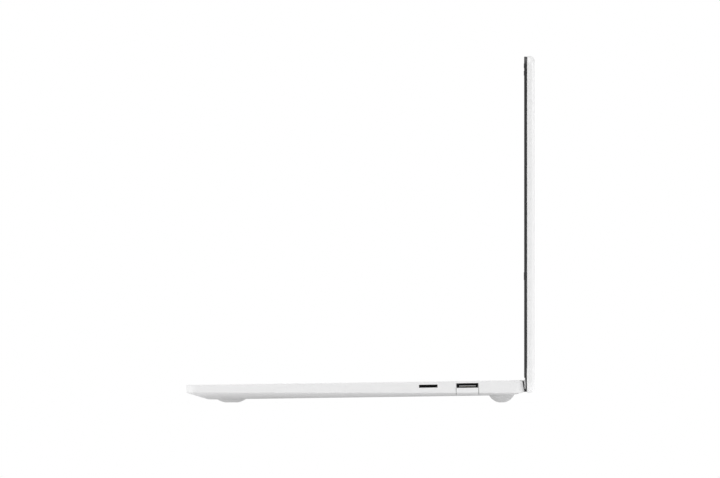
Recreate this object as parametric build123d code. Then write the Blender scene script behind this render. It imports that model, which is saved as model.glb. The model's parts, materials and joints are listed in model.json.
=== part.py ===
# Thin 14-inch laptop computer, standing on its feet with the lid upright.
#
# Two modelling frames are used, both in millimetres with +X to the user's right.
#   case frame: y runs back from the front edge of the case, z is measured up from the deck surface
#   lid frame:  origin on the lid axis, y runs back through the lid, z runs up the screen
# The finished parts are placed in the part's own frame: +Z up, front edge towards -Y, table at z = 0,
# x = 0 midway across and y = 0 midway between the front edge and the back of the upright lid.
from build123d import *
from math import cos, radians, sin
import os

os.makedirs("parts", exist_ok=True)

# ------------------------------------------------------------------ driving dimensions
width = 311.6             # across the case and the lid
corner_radius = 8.0       # corners seen from above
base_thickness = 9.3      # deck to flat underside
tilt = 0.82               # the taller rear feet tip the case forward, degrees
deck_front_height = 11.0  # deck above the table at the front edge
parting_height = 6.0      # the two case halves meet on a level plane this far above the table
pivot_y = 208.3           # lid axis behind the front edge
pivot_drop = 3.8          # lid axis below the deck
nose_radius = 4.1         # rounded rear of the case round the lid axis
end_top = 3.0             # the case's rear end slants from here, behind the lid axis at deck level,
end_low = 4.15            # to this lower corner
end_low_drop = 3.3        # which is this far below the lid axis
rear_foot_y = 1.9         # its lower end meets the underside this far behind the lid axis,
rear_foot_z = -8.0        # and this high
lip_y = 0.6               # the underside's rear lip runs from here, behind the lid axis,
lip_z = -8.24             # at this height
lip_start = 3.5           # to the flat underside this far in front of the lid axis
lid_path = 1.4            # between the hinges it stops this far in front of the lid axis
wall = 1.2                # case side walls
deck_thickness = 1.3
floor_thickness = 1.0     # bottom cover

lid_face = 4.15           # lid axis to the front of the screen frame
lid_back = 10.75          # lid axis to the back of the lid
lid_top = 207.6           # lid axis to the top edge of the lid
lid_bottom = -4.2         # lid axis to the bottom edge of the lid
frame_bottom = 4.9        # lower edge of the screen frame
frame_back = 5.9          # plane where the screen frame meets the lid shell

pitch_x = 18.7            # key spacing across
pitch_y = 18.6            # key spacing front to back
key_gap = 3.1             # between neighbouring keycaps
function_row = 11.6       # depth given to the function row
keyboard_front = 85.0     # front edge of the keyboard field
key_travel = 1.3
joined_wells = ("arrow_up_key", "arrow_down_key")   # these two share one well
well_gap = 0.5            # clear space round a keycap in its well

port_y = 176.8            # centre of the full-size USB socket behind the front edge
card_y = 152.2            # centre of the memory card slot
notch_half = 127.0        # half the width of the gap that the lid's hinge barrel sits in
trim_half = 146.4         # half the length of the lid's light trim strip
barrel_radius = 3.7
shaft_radius = 1.25
eye_room = 2.45           # round the bracket's eye and the shaft's nut, inside the nose

# ------------------------------------------------------------------ worked out from those
case_depth = pivot_y + end_low
half = width / 2
key_field = 15 * pitch_x
keyboard_back = keyboard_front + 5 * pitch_y + function_row
pivot_row_y = pivot_y * cos(radians(tilt)) + pivot_drop * sin(radians(tilt))
pivot_row_z = deck_front_height + pivot_y * sin(radians(tilt)) - pivot_drop * cos(radians(tilt))
front_y = -(pivot_row_y + lid_back) / 2
in_case = Pos(0, front_y, deck_front_height) * Rot(tilt, 0, 0)
in_lid = Pos(0, front_y + pivot_row_y, pivot_row_z)
level_in_case = Pos(0, 0, parting_height - deck_front_height) * Rot(-tilt, 0, 0)
big = 400.0


# ------------------------------------------------------------------ small helpers
def block(x0, x1, y0, y1, z0, z1):
    """A box given by its two corners."""
    return Pos((x0 + x1) / 2, (y0 + y1) / 2, (z0 + z1) / 2) * Box(x1 - x0, y1 - y0, z1 - z0)


def plate(x0, x1, y0, y1, z0, z1, radius):
    """A flat plate with rounded corners seen from above."""
    face = Pos((x0 + x1) / 2, (y0 + y1) / 2, z0) * RectangleRounded(x1 - x0, y1 - y0, radius)
    return extrude(face, amount=z1 - z0, dir=(0, 0, 1))


def rod(radius, x0, x1, y, z):
    """A round bar along X."""
    return Pos((x0 + x1) / 2, y, z) * Rot(0, 90, 0) * Cylinder(radius, x1 - x0)


def post(radius, x, y, z0, z1):
    """A round bar along Z."""
    return Pos(x, y, (z0 + z1) / 2) * Cylinder(radius, z1 - z0)


def faceted(radius, x, y, z0, z1, sides=10):
    """A small upright post or hole with a few flats, for the many that repeat out of sight."""
    return extrude(Pos(x, y, z0) * RegularPolygon(radius, sides), amount=z1 - z0)


def round_ended(length, height, steps=5):
    """A slot outline whose semicircular ends are drawn with short straight steps."""
    radius, reach = height / 2, (length - height) / 2
    angles = [radians(-90 + 180 * i / steps) for i in range(steps + 1)]
    right = [(reach + radius * cos(a), radius * sin(a)) for a in angles]
    return profile(*right, *[(-x, -y) for x, y in right])


def across(face, x0, x1):
    """A profile drawn in the y-z plane, drawn out along X."""
    return extrude(Plane.YZ.offset(x0) * face, amount=x1 - x0)


def profile(*points):
    """A straight-sided face through the points."""
    return make_face(Polyline(*points, close=True))


def pivot_rod(radius, x0, x1):
    """A round bar on the lid axis, in the case frame."""
    return rod(radius, x0, x1, pivot_y, -pivot_drop)


def save(name, shape, place):
    """Writes one sub-part, moved from its modelling frame into the part's frame."""
    solids = shape.solids()
    placed = [place * solid for solid in solids]
    export_step(placed[0] if len(placed) == 1 else Compound(children=placed), f"parts/{name}.step")


# ------------------------------------------------------------------ case halves
def case_outline(inset):
    """The case seen from above, drawn in by inset on every side."""
    size_x, size_y = width - 2 * inset, case_depth - 2 * inset
    return Pos(0, case_depth / 2) * RectangleRounded(size_x, size_y, corner_radius - inset)


underside_front, underside_side = 13.6, 12.0  # how far the underside slopes in from the edges
screw_places = [(-80, 17), (80, 17), (-100, 196.2), (0, 196.2), (100, 196.2)]
boss_radius, thread_radius, screw_head_radius = 2.3, 0.9, 2.2
touchpad_x, touchpad_y0, touchpad_y1 = 59.0, 8.0, 77.0
touchpad_gap = 0.4
front_wall = 3.0
socket_y0, socket_y1 = port_y - 6.95, port_y + 6.95
port_x0 = 141.9                               # inner end of the sockets, beside the keyboard
socket_top, socket_bottom = -1.45, -4.3       # mouth of the full-size USB socket in the side wall
jaw_axis_x, jaw_axis_z, jaw_knuckle = 146.2, -8.4, 0.62
jaw_gap = 0.25
jaw_pin_length = socket_y1 - socket_y0 + 1.8
usb_c_places, usb_c_z = (177.0, 161.5), -4.0
jack_y, jack_z, jack_radius = 144.0, -4.3, 1.8
exhaust_x0, exhaust_x1 = 24.0, 76.0
fin_y0, fin_y1 = 190.2, 202.2
rear_wall_back = pivot_y - 4.4
rear_wall_front = rear_wall_back - wall


def jaw_cutout():
    """The space in the side wall and underside that the socket's jaw takes, with its running gaps."""
    lower = block(jaw_axis_x - jaw_knuckle - 0.3, big, socket_y0 - jaw_gap, socket_y1 + jaw_gap, -20, socket_bottom)
    mouth = block(half - wall - 1, big, socket_y0, socket_y1, socket_bottom - 0.1, socket_top)
    return lower + mouth


def rear_end():
    """What the case keeps behind the lid axis: a slanted end, drawn in to a round nose where the lid's trim passes."""
    slope = (end_low - end_top) / (end_low_drop + pivot_drop)
    low_z = -pivot_drop - end_low_drop
    side = profile(
        (pivot_y - 1, 10), (pivot_y + end_top - 10 * slope, 10), (pivot_y + end_low, low_z),
        (pivot_y + rear_foot_y, rear_foot_z), (pivot_y + rear_foot_y, -30), (pivot_y - 1, -30),
    )
    end = across(side, -half, half)
    passing = block(-trim_half - 0.6, trim_half + 0.6, pivot_y, big, -30, 10)
    return end - (passing - pivot_rod(nose_radius, -half, half))


def top_case():
    """Deck and side walls in one piece, with the port openings, screw bosses and the gap for the hinge barrel."""
    body = extrude(case_outline(0), amount=-14)
    rim = body.faces().sort_by(Axis.Z)[-1].edges()
    body = chamfer(rim, 0.45)
    body -= level_in_case * block(-big, big, -big, big, -30, 0)
    body -= block(-big, big, pivot_y, big, -30, 10) - rear_end()
    room_face = cut_corner_face(width - 2 * wall, rear_wall_front - front_wall, 5)
    room = extrude(Pos(0, (front_wall + rear_wall_front) / 2, -20) * room_face, amount=20 - deck_thickness)
    for side in (-1, 1):
        x0, x1 = sorted((side * (notch_half + wall), side * (half - 1.8)))
        room += block(x0, x1, rear_wall_front - 8, pivot_y - 1.0, -20, -deck_thickness)
        x0, x1 = sorted((side * (notch_half + wall), side * (half - 8)))
        room += pivot_rod(eye_room, x0, x1)
    body -= room
    body += [faceted(boss_radius, x, y, -6.9, -deck_thickness) for x, y in screw_places]
    body -= block(-notch_half, notch_half, rear_wall_back, big, -30, 10)
    body -= pivot_rod(shaft_radius + 0.2, -half + 10, half - 10)
    # openings in the deck
    body -= plate(-key_field / 2 - 1.2, key_field / 2 + 1.2, keyboard_front, keyboard_back, -5, 5, 2.5)
    body -= plate(
        -touchpad_x - touchpad_gap, touchpad_x + touchpad_gap,
        touchpad_y0 - touchpad_gap, touchpad_y1 + touchpad_gap, -5, 5, 4.4,
    )
    # finger scoop in the middle of the front edge
    scoop_depth, scoop_half = 1.5, 23.0
    scoop_radius = (scoop_half**2 + scoop_depth**2) / (2 * scoop_depth)
    body -= post(scoop_radius, 0, scoop_depth - scoop_radius, -2.3, 5)
    # ports on the right
    body -= jaw_cutout()
    body -= block(half - 5, half + 5, card_y - 5.85, card_y + 5.85, -3.9, -2.0)
    # ports on the left
    for y in usb_c_places:
        body -= across(Pos(y, usb_c_z) * round_ended(9.3, 3.5), -half - 5, -half + 5)
    body -= rod(3.0, -half - 5, -half + 3, jack_y, jack_z)
    # exhaust slots in the rear wall
    for i in range(9):
        x = exhaust_x0 + 3.6 + 5.6 * i
        body -= block(x - 2.0, x + 2.0, rear_wall_front - 3, rear_wall_back + 1, -7.3, -4.5)
    return body


def underside_loft(inset, lift):
    """The space between the level parting plane and the flat underside; lift thins it from below."""
    upper = level_in_case * case_outline(inset)
    y0, y1 = underside_front + 0.3 * inset, 211.0
    lower = Pos(0, (y0 + y1) / 2, -base_thickness + lift) * RectangleRounded(
        width - 2 * underside_side - 0.6 * inset, y1 - y0, corner_radius - inset
    )
    return loft([lower, upper], ruled=True)


def slots(x0, x1, count, y0, y1, slot_width):
    """A row of straight through-slots in the underside."""
    step = (x1 - x0) / (count - 1)
    cut = [
        block(x0 + i * step - slot_width / 2, x0 + i * step + slot_width / 2, y0, y1, -12, -6)
        for i in range(count)
    ]
    return Part() + cut


def bottom_cover():
    """Shallow pan with sloping edges that closes the case, with intake and speaker slots."""
    pan = underside_loft(0, 0)
    hollow = underside_loft(wall, floor_thickness)
    hollow -= block(-big, big, pivot_y - 6.0, big, -20, 10)
    pan -= hollow
    # the rear lip slopes up to the case's lower corner, and stops short of the lid's path between the hinges
    lip = profile(
        (pivot_y + lip_y, 5), (pivot_y + lip_y, lip_z), (pivot_y - lip_start, -base_thickness),
        (pivot_y - lip_start, -20), (pivot_y + 30, -20), (pivot_y + 30, 5),
    )
    pan -= across(lip, -big, big)
    pan -= block(-notch_half, notch_half, pivot_y - lid_path, big, -20, 5)
    pan -= jaw_cutout()
    pan -= Pos(jaw_axis_x, port_y, jaw_axis_z) * Rot(90, 0, 0) * Cylinder(0.41, jaw_pin_length + 0.1)
    pan -= slots(0, 100, 16, 128, 142, 2.6)
    pan -= slots(0, 100, 16, 147, 161, 2.6)
    for side in (-1, 1):
        pan -= slots(side * 126, side * 141, 5, 44, 58, 1.6)
    for x, y in screw_places:
        pan += faceted(boss_radius + 1.2, x, y, -base_thickness + 0.4, -7.05)
        pan -= faceted(screw_head_radius + 0.3, x, y, -12, -base_thickness + 0.9, 12)
        pan -= faceted(thread_radius + 0.2, x, y, -12, 0, 8)
    return pan


def bottom_screws():
    """Flat-headed screws that pass through the cover and cut their threads in the deck's bosses."""
    head_z = -base_thickness + 0.1
    screw = faceted(screw_head_radius, 0, 0, head_z, head_z + 0.75, 12)
    screw += faceted(thread_radius, 0, 0, head_z + 0.7, -4.0, 8)
    screw -= faceted(0.95, 0, 0, head_z - 0.1, head_z + 0.5, 6)
    return Part() + [Pos(x, y) * screw for x, y in screw_places]


foot_x, foot_front_y, foot_rear_y = 132.0, 26.4, 198.1
foot_sink = 0.15          # how much of each dome the table's plane cuts off


def foot(x, y, sphere_radius):
    """A rubber dome under the case, stepped in three rings and cut level where it stands on the table."""
    depth = deck_front_height + y * sin(radians(tilt)) - base_thickness + foot_sink
    rings = []
    for share in (1.0, 0.5, 0.16, 0.0):
        height = depth * share
        ring_radius = max((2 * sphere_radius * height - height**2) ** 0.5, 0.6)
        rings.append(Pos(x, y, -base_thickness - depth + height) * RegularPolygon(ring_radius, 16))
    table = in_case.inverse() * block(-big, big, -big, big, -20, 0)
    return loft(rings, ruled=True) - table


# ------------------------------------------------------------------ keyboard
def row_y(row):
    """Front edge of a key row; row 0 is the space bar's, row 5 the function row."""
    return keyboard_front + row * pitch_y


def key_rows():
    """Each keycap's name, place and size: {name: [(x centre, y centre, size x, size y), ...]}."""
    keys = {}

    def put(name, left, units, row, y0=0.0, y1=pitch_y):
        x = -key_field / 2 + (left + units / 2) * pitch_x
        y = row_y(row) + (y0 + y1) / 2
        keys.setdefault(name, []).append((x, y, units * pitch_x - key_gap, y1 - y0 - key_gap))

    small = 15 / 16
    for i in range(16):
        put("power_button" if i == 15 else "function_keys", i * small, small, 5, 0.6, function_row + 0.6)
    for i in range(13):
        put("number_keys", i, 1, 4)
    put("backspace_key", 13, 2, 4)
    put("tab_key", 0, 1.5, 3)
    for i in range(12):
        put("top_letter_keys", 1.5 + i, 1, 3)
    put("top_letter_keys", 13.5, 1.5, 3)
    put("caps_lock_key", 0, 1.75, 2)
    for i in range(11):
        put("home_letter_keys", 1.75 + i, 1, 2)
    put("enter_key", 12.75, 2.25, 2)
    put("left_shift_key", 0, 2.25, 1)
    for i in range(10):
        put("bottom_letter_keys", 2.25 + i, 1, 1)
    put("right_shift_key", 12.25, 2.75, 1)
    for left, units in ((0, 1.25), (1.25, 1), (2.25, 1), (3.25, 1), (10, 1), (11, 1)):
        put("modifier_keys", left, units, 0)
    put("space_bar", 4.25, 5.75, 0)
    half_row = pitch_y / 2
    put("arrow_left_key", 12, 1, 0, 0, half_row + 1.3)
    put("arrow_down_key", 13, 1, 0, 0, half_row + 1.3)
    put("arrow_up_key", 13, 1, 0, half_row - 1.3, pitch_y)
    put("arrow_right_key", 14, 1, 0, 0, half_row + 1.3)
    return keys


key_top, key_bottom = -0.2, -2.5
grid_top, grid_under, grid_foot = -0.9, -1.8, -3.95


def cut_corner_face(size_x, size_y, cut):
    """A rectangle with its corners cut off."""
    x, y = size_x / 2, size_y / 2
    return profile(
        (x, -y + cut), (x, y - cut), (x - cut, y), (-x + cut, y),
        (-x, y - cut), (-x, -y + cut), (-x + cut, -y), (x - cut, -y),
    )


def keycap(x, y, size_x, size_y):
    """A chiclet keycap whose sides lean in towards the top."""
    foot_face = Pos(x, y, key_bottom) * Rectangle(size_x, size_y)
    return extrude(foot_face, amount=key_top - key_bottom, taper=8.5)


def keyboard_grid(keys):
    """The recessed plate between the keys, with one well for each key and a rim down to the back plate."""
    edge = 1.1
    x, y0, y1 = key_field / 2 + edge, keyboard_front + 0.1, keyboard_back - 0.1
    grid = plate(-x, x, y0, y1, grid_foot, grid_top, 2.4)
    grid -= block(-x + 0.8, x - 0.8, y0 + 0.8, y1 - 0.8, grid_foot - 1, grid_under)
    wells = [
        block(
            kx - sx / 2 - well_gap, kx + sx / 2 + well_gap, ky - sy / 2 - well_gap, ky + sy / 2 + well_gap, -3, 1,
        )
        for name, places in keys.items() if name not in joined_wells
        for kx, ky, sx, sy in places
    ]
    upper, lower = joined_wells
    kx, ky, sx, sy = keys[upper][0]
    low = keys[lower][0]
    top, bottom = ky + sy / 2 + well_gap, low[1] - low[3] / 2 - well_gap
    wells.append(block(kx - sx / 2 - well_gap, kx + sx / 2 + well_gap, bottom, top, -3, 1))
    return grid - wells


def keyboard_membrane():
    """The switch sheet under the keys."""
    x = key_field / 2 + 0.1
    return block(-x, x, keyboard_front + 1.1, keyboard_back - 1.1, -4.15, grid_foot)


def keyboard_backplate():
    """The stiffening plate that carries the whole keyboard, with a row of lightening slots."""
    x = key_field / 2 + 1.1
    size_y = keyboard_back - keyboard_front - 0.2
    outline = Pos(0, (keyboard_front + keyboard_back) / 2, -4.65) * cut_corner_face(2 * x, size_y, 1.5)
    body = extrude(outline, amount=0.5)
    slot_centres = [(i - 3) * 38 for i in range(7)]
    return body - [block(c - 12, c + 12, keyboard_front + 8, keyboard_front + 11, -6, 0) for c in slot_centres]


# ------------------------------------------------------------------ touchpad
rail_radius = 0.45


def touchpad():
    """The glass pad, which rocks down at its front edge to click."""
    pad = plate(-touchpad_x, touchpad_x, touchpad_y0, touchpad_y1, -1.15, -0.1, 4.0)
    rail = rod(rail_radius, -40, 40, touchpad_y1 - 0.9, -1.15)
    button = block(-4, 4, touchpad_y0 + 2, touchpad_y0 + 6, -1.45, -1.15)
    return pad + rail + button


def touchpad_bracket():
    """The stamped frame that the pad rocks on, hung from the underside of the deck."""
    outer_x, y0, y1 = touchpad_x + 5, touchpad_y0 - 4.2, touchpad_y1 + 4.6
    body = block(-outer_x, outer_x, y0, y1, -2.55, -deck_thickness)
    body -= block(-touchpad_x - 1.5, touchpad_x + 1.5, touchpad_y0 - 1.5, touchpad_y1 + 1.5, -2.2, 0)
    body -= block(-24, 24, touchpad_y0 + 14, touchpad_y1 - 12, -4, 0)
    rail_y = touchpad_y1 - 0.9
    for x in (-30, 30):
        saddle = block(x - 3, x + 3, rail_y - 1.1, rail_y + 1.1, -2.25, -1.3)
        body += saddle - rod(rail_radius + 0.05, x - 4, x + 4, rail_y, -1.15)
    return body


# ------------------------------------------------------------------ inside the case
cell_places = (-94.5, -31.5, 31.5, 94.5)


def battery_frame():
    """Plastic carrier round the four pouch cells."""
    body = block(-128, 128, 24, 83.5, -7.9, -2.9)
    return body - [block(x - 30.5, x + 30.5, 25.5, 80, -10, 0) for x in cell_places]


def battery_cells():
    """Four flat pouch cells."""
    return Part() + [block(x - 30.2, x + 30.2, 25.8, 79.7, -7.9, -2.9) for x in cell_places]


def mainboard():
    """The main circuit board, notched for the fan."""
    body = block(-140, 116, 96, 188, -5.9, -5.1)
    body -= block(14, 90, 124, 200, -8, 0)
    body -= block(105, 130, 134, 200, -8, 0)
    return body


def mainboard_chips():
    """Processor, memory, power and controller packages on the board's lower side."""
    places = [
        (-52, 150, 28, 26, 1.0), (-52, 150, 12, 16, 1.3), (-90, 160, 14, 12, 0.9), (-90, 144, 14, 12, 0.9),
        (-90, 128, 14, 12, 0.9), (-90, 112, 14, 12, 0.9), (-18, 170, 7, 7, 0.8), (-18, 130, 9, 9, 0.8),
        (-60, 116, 8, 8, 0.8), (0, 112, 10, 10, 0.8), (-118, 120, 12, 9, 0.9), (-34, 108, 8, 8, 0.9),
    ]
    return Part() + [block(x - w / 2, x + w / 2, y - d / 2, y + d / 2, -5.9 - h, -5.9) for x, y, w, d, h in places]


fan_x, fan_y, fan_radius = 50.0, 158.0, 25.0
fan_low, fan_high = -8.1, -4.85
fan_shaft = 1.0


def fan_housing():
    """Flat blower case, open below and towards the fin stack behind it, with the fan's fixed shaft."""
    outer = faceted(fan_radius + 3, fan_x, fan_y, fan_low, fan_high, 24)
    outer += block(fan_x - 26, fan_x + 26, fan_y, fin_y0 - 0.2, fan_low, fan_high)
    inner = faceted(fan_radius + 2, fan_x, fan_y, fan_low + 0.4, fan_high - 0.4, 24)
    inner += block(fan_x - 25, fan_x + 25, fan_y, fin_y0 + 1, fan_low + 0.4, fan_high - 0.4)
    eye = faceted(15, fan_x, fan_y, fan_low - 1, fan_low + 1, 24)
    return outer - inner - eye + post(fan_shaft, fan_x, fan_y, fan_low + 0.9, fan_high - 0.2)


def fan_impeller():
    """Hub with thin blades; the fan's fixed shaft runs in its bore."""
    low, high = fan_low + 0.8, fan_high - 0.8
    blade = Pos((7 + fan_radius - 1) / 2, 0, (low + high) / 2) * Box(fan_radius - 8, 0.5, high - low)
    wheel = faceted(8, 0, 0, low, high, 19) + [Rot(0, 0, 360 / 19 * i) * blade for i in range(19)]
    wheel -= post(fan_shaft + 0.05, 0, 0, low - 1, high + 1)
    return Pos(fan_x, fan_y) * wheel


def heat_sink():
    """Fin stack between the fan's mouth and the exhaust slots."""
    fins = [block(x - 0.15, x + 0.15, fin_y0, fin_y1, -6.9, -4.9) for x in [26 + 3.7 * i for i in range(14)]]
    base = block(exhaust_x0 + 1, exhaust_x1 - 1, fin_y0, fin_y1, -7.2, -6.9)
    lid = block(exhaust_x0 + 1, exhaust_x1 - 1, fin_y0, fin_y1, -4.9, -4.6)
    return base + lid + fins


def heat_pipe():
    """Flattened pipe from the processor round to the fin stack."""
    path = FilletPolyline((-64, 150), (-30, 150), (14, 194), (exhaust_x1 - 2, 194), radius=12)
    section = Plane(origin=path @ 0, x_dir=(0, 1, 0), z_dir=path % 0) * Rectangle(6.0, 1.0)
    line = Pos(0, 0, -7.7) * sweep(section, path=path)
    return line + block(-66, -40, 141, 159, -8.1, -7.2)


def ssd_module():
    """Long storage card in its socket."""
    card = block(20, 100, 97, 119, -7.0, -6.2)
    chips = [block(x, x + 14, 100, 116, -7.9, -7.0) for x in (26, 46, 66)]
    socket = block(100, 106, 99, 117, -7.4, -5.9)
    return card - block(99, 101, 107, 109, -8, -5) + chips + socket


def wifi_card():
    """Small radio card beside the fan."""
    return block(92, 104, 146, 172, -6.9, -6.1) + block(93.5, 102.5, 150, 168, -8.0, -6.9)


def speakers():
    """Two long speaker boxes under the palm rest."""
    pair = []
    for side in (-1, 1):
        x0, x1 = sorted((side * 131.5, side * 147))
        body = block(x0, x1, 36, 74, -7.4, -2.6)
        cone = faceted(5.5, side * 138, 50, -8.0, -7.4, 16)
        pair.append(body + cone)
    return Part() + pair


def io_board():
    """Small board on the right that carries the USB socket and the card reader."""
    return block(118, 140.0, 141, 189, -7.9, -7.1)


# ------------------------------------------------------------------ ports
def usb_a_shell():
    """Stamped metal sleeve of the full-size USB socket, open at the mouth."""
    x0, x1 = port_x0, half - wall - 0.15
    sleeve = block(x0, x1, port_y - 6.5, port_y + 6.5, -6.65, -deck_thickness)
    sleeve -= block(x0 + 0.3, x1 + 1, port_y - 6.2, port_y + 6.2, -6.35, -deck_thickness - 0.3)
    return sleeve


def usb_a_tongue():
    """Insulating tongue with its four contact strips."""
    x0, x1 = port_x0 + 0.3, half - wall - 1.2
    tongue = block(x0, x1, port_y - 5.3, port_y + 5.3, -3.4, -2.9)
    root = block(x0, x0 + 1.5, port_y - 6.2, port_y + 6.2, -6.35, -deck_thickness - 0.3)
    contacts = [block(x0, x1 - 0.6, port_y + y - 0.5, port_y + y + 0.5, -3.55, -3.4) for y in (-3.5, -1, 1, 3.5)]
    return tongue + root + contacts


def jaw_body():
    """The part of the case that drops to let a full-size plug in: side wall, sloping floor and knuckle."""
    floor_lift = 0.8
    outer = (underside_loft(0, 0) + (
        extrude(case_outline(0), amount=-14) - level_in_case * block(-big, big, -big, big, -30, 0)
    ))
    inner = block(-big, half - wall, -big, big, -7.0, 20)
    skin = outer - inner - Pos(0, 0, floor_lift) * (underside_loft(0, 0) & block(-big, half - wall, 0, 300, -20, 0))
    window = block(jaw_axis_x, big, socket_y0, socket_y1, -20, socket_bottom)
    jaw = skin & window
    knuckle = Pos(jaw_axis_x, port_y, jaw_axis_z) * Rot(90, 0, 0) * Cylinder(jaw_knuckle, socket_y1 - socket_y0)
    bore = Pos(jaw_axis_x, port_y, jaw_axis_z) * Rot(90, 0, 0) * Cylinder(0.43, 20)
    return jaw + knuckle - bore


def jaw_pin():
    """Steel pin that the jaw turns on, held in the bottom cover at both ends."""
    return Pos(jaw_axis_x, port_y, jaw_axis_z) * Rot(90, 0, 0) * Cylinder(0.4, jaw_pin_length)


def microsd_socket():
    """Flat metal card reader behind its slot."""
    x0, x1 = port_x0, half - wall - 0.1
    body = block(x0, x1, card_y - 7, card_y + 7, -4.2, -1.7)
    return body - block(x0 + 1.5, x1 + 1, card_y - 5.6, card_y + 5.6, -3.75, -2.15)


def usb_c_shells():
    """Two reversible USB sockets: rounded metal sleeves."""
    x0, x1 = -half + wall + 0.1, -half + wall + 8.1
    pair = []
    for y in usb_c_places:
        sleeve = across(Pos(y, usb_c_z) * round_ended(8.94, 3.16), x0, x1)
        sleeve -= across(Pos(y, usb_c_z) * round_ended(8.34, 2.56), x0 - 1, x1 - 1.0)
        pair.append(sleeve)
    return Part() + pair


def usb_c_tongues():
    """The thin contact tongues inside them."""
    x0, x1 = -half + wall + 0.9, -half + wall + 7.1
    return Part() + [block(x0, x1, y - 3.35, y + 3.35, usb_c_z - 0.35, usb_c_z + 0.35) for y in usb_c_places]


def audio_jack():
    """Moulded 3.5 mm headset socket; its nose fills the round hole in the side wall."""
    x0, x1 = -half + 0.2, -port_x0
    body = block(-half + wall + 0.1, x1, jack_y - 3.2, jack_y + 3.2, -6.9, -1.7)
    body += rod(2.9, x0, x0 + 2, jack_y, jack_z)
    return body - rod(jack_radius, x0 - 1, x1 - 0.5, jack_y, jack_z)


# ------------------------------------------------------------------ hinges
bracket_x0, bracket_x1 = 130.0, 136.5
arm_x0, arm_x1 = 112.0, 121.0
eye_radius = 2.3


def both_sides(make):
    """The same piece for the right and the left, mirrored."""
    right = make()
    return Part() + [right, mirror(right, about=Plane.YZ)]


def hinge_bracket():
    """Case side of a hinge: an eye round the shaft on a plate screwed under the deck."""
    eye = across(Pos(pivot_y, -pivot_drop) * RegularPolygon(eye_radius, 12), bracket_x0, bracket_x1)
    web = block(bracket_x0, bracket_x1, pivot_y - 6.0, pivot_y, -2.5, -1.6)
    foot_plate = block(129.2, 150, 193, pivot_y - 4.5, -2.5, -1.5)
    body = eye + web + foot_plate - pivot_rod(shaft_radius + 0.04, 120, 150)
    return body - [faceted(1.2, x, 197.5, -4, 0) for x in (134, 145)]


def hinge_shaft():
    """Turned shaft from the lid's arm through the bracket's eye, with its lock nut at the outer end."""
    nut_end = bracket_x1 + 3.2
    shaft = rod(shaft_radius, arm_x0 - 0.5, nut_end, 0, 0)
    return shaft + across(RegularPolygon(2.1, 6), bracket_x1 + 0.2, nut_end)


def hinge_arm():
    """Lid side of a hinge: a ring on the shaft, bent back and up inside the lid."""
    ring = across(RegularPolygon(eye_radius, 12), arm_x0, arm_x1)
    strip = profile(
        (0, -0.6), (9.7, -0.6), (9.7, 46), (8.7, 46), (8.7, 0.6), (0, 0.6),
    )
    body = ring + across(strip, arm_x0, arm_x1)
    body -= rod(shaft_radius, 100, 130, 0, 0)
    holes = [
        extrude(Plane.XZ.offset(-12) * (Pos((arm_x0 + arm_x1) / 2, z) * RegularPolygon(1.1, 10)), amount=6)
        for z in (24, 38)
    ]
    return body - holes


def arm_passages():
    """Where the two hinge arms run back from the barrel into the lid."""
    right = block(arm_x0 - 0.3, arm_x1 + 0.3, 0, 10, -0.9, 0.9)
    return right + mirror(right, about=Plane.YZ)


def trim_strip():
    """A wedge that narrows downwards, with a thin web up to the screen frame's lower edge."""
    section = profile(
        (4.1, 3.9), (4.3, 3.9), (4.3, frame_bottom), (4.75, frame_bottom),
        (4.75, 3.9), (5.25, 3.9), (4.95, -1.7), (4.55, -1.7),
    )
    return across(section, -trim_half, trim_half)


def hinge_trim():
    """Light strip that fills the gap between the deck and the screen, over almost the whole width."""
    return trim_strip() - arm_passages()


def hinge_cover():
    """Dark barrel round the hinges, with the web that carries it from the lid."""
    barrel_end = notch_half - 0.6
    body = rod(barrel_radius, -barrel_end, barrel_end, 0, 0)
    web = profile((0, -3.4), (frame_back, -3.4), (frame_back, 2.8), (4.4, 3.6), (0, barrel_radius))
    body += across(web, -barrel_end, barrel_end)
    body -= rod(barrel_radius - 0.9, -barrel_end - 1, barrel_end + 1, 0, 0)
    return body - trim_strip() - arm_passages()


# ------------------------------------------------------------------ lid
def lid_shell():
    """Back of the lid: a shallow tray that runs down past the hinges, with rounded rear edges."""
    height = lid_top - lid_bottom
    centre_z = (lid_top + lid_bottom) / 2
    face = Plane.XZ.offset(-frame_back) * (Pos(0, centre_z) * RectangleRounded(width, height, corner_radius))
    body = extrude(face, amount=-(lid_back - frame_back))
    back_edges = body.faces().sort_by(Axis.Y)[-1].edges()
    body = fillet(back_edges, 2.8)
    tray = Plane.XZ.offset(-5) * (Pos(0, (6.0 + lid_top - 1.3) / 2) * RectangleRounded(
        width - 2.6, lid_top - 1.3 - 6.0, corner_radius - 1.3
    ))
    body -= extrude(tray, amount=-(lid_back - 1.0 - 5))
    for side in (-1, 1):
        x0, x1 = sorted((side * (arm_x0 - 0.4), side * (arm_x1 + 0.4)))
        body -= block(x0, x1, frame_back - 1, lid_back - 1.0, -0.9, 8)
    return body


glass_x, glass_z0, glass_z1 = 154.2, 6.2, 206.0
panel_x, panel_z0, panel_z1 = 151.8, 10.6, 201.8
glass_front, glass_back, panel_back = 4.35, 4.95, 7.2


def upright(x0, x1, z0, z1, y0, y1, radius):
    """A plate standing on edge, with rounded corners seen from the front."""
    face = Pos((x0 + x1) / 2, (z0 + z1) / 2) * RectangleRounded(x1 - x0, z1 - z0, radius)
    return extrude(Plane.XZ.offset(-y0) * face, amount=-(y1 - y0))


def bezel_frame():
    """Black frame round the glass, with a thin rim in front and a flange behind the glass."""
    body = upright(-half + 0.3, half - 0.3, frame_bottom, lid_top - 0.3, lid_face, frame_back, corner_radius - 0.3)
    body -= upright(-glass_x - 0.1, glass_x + 0.1, glass_z0 - 0.1, glass_z1 + 0.1, 0, glass_back, 6.4)
    return body - block(-panel_x - 0.3, panel_x + 0.3, 0, 10, panel_z0 - 1.5, glass_z1 - 1.6)


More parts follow.
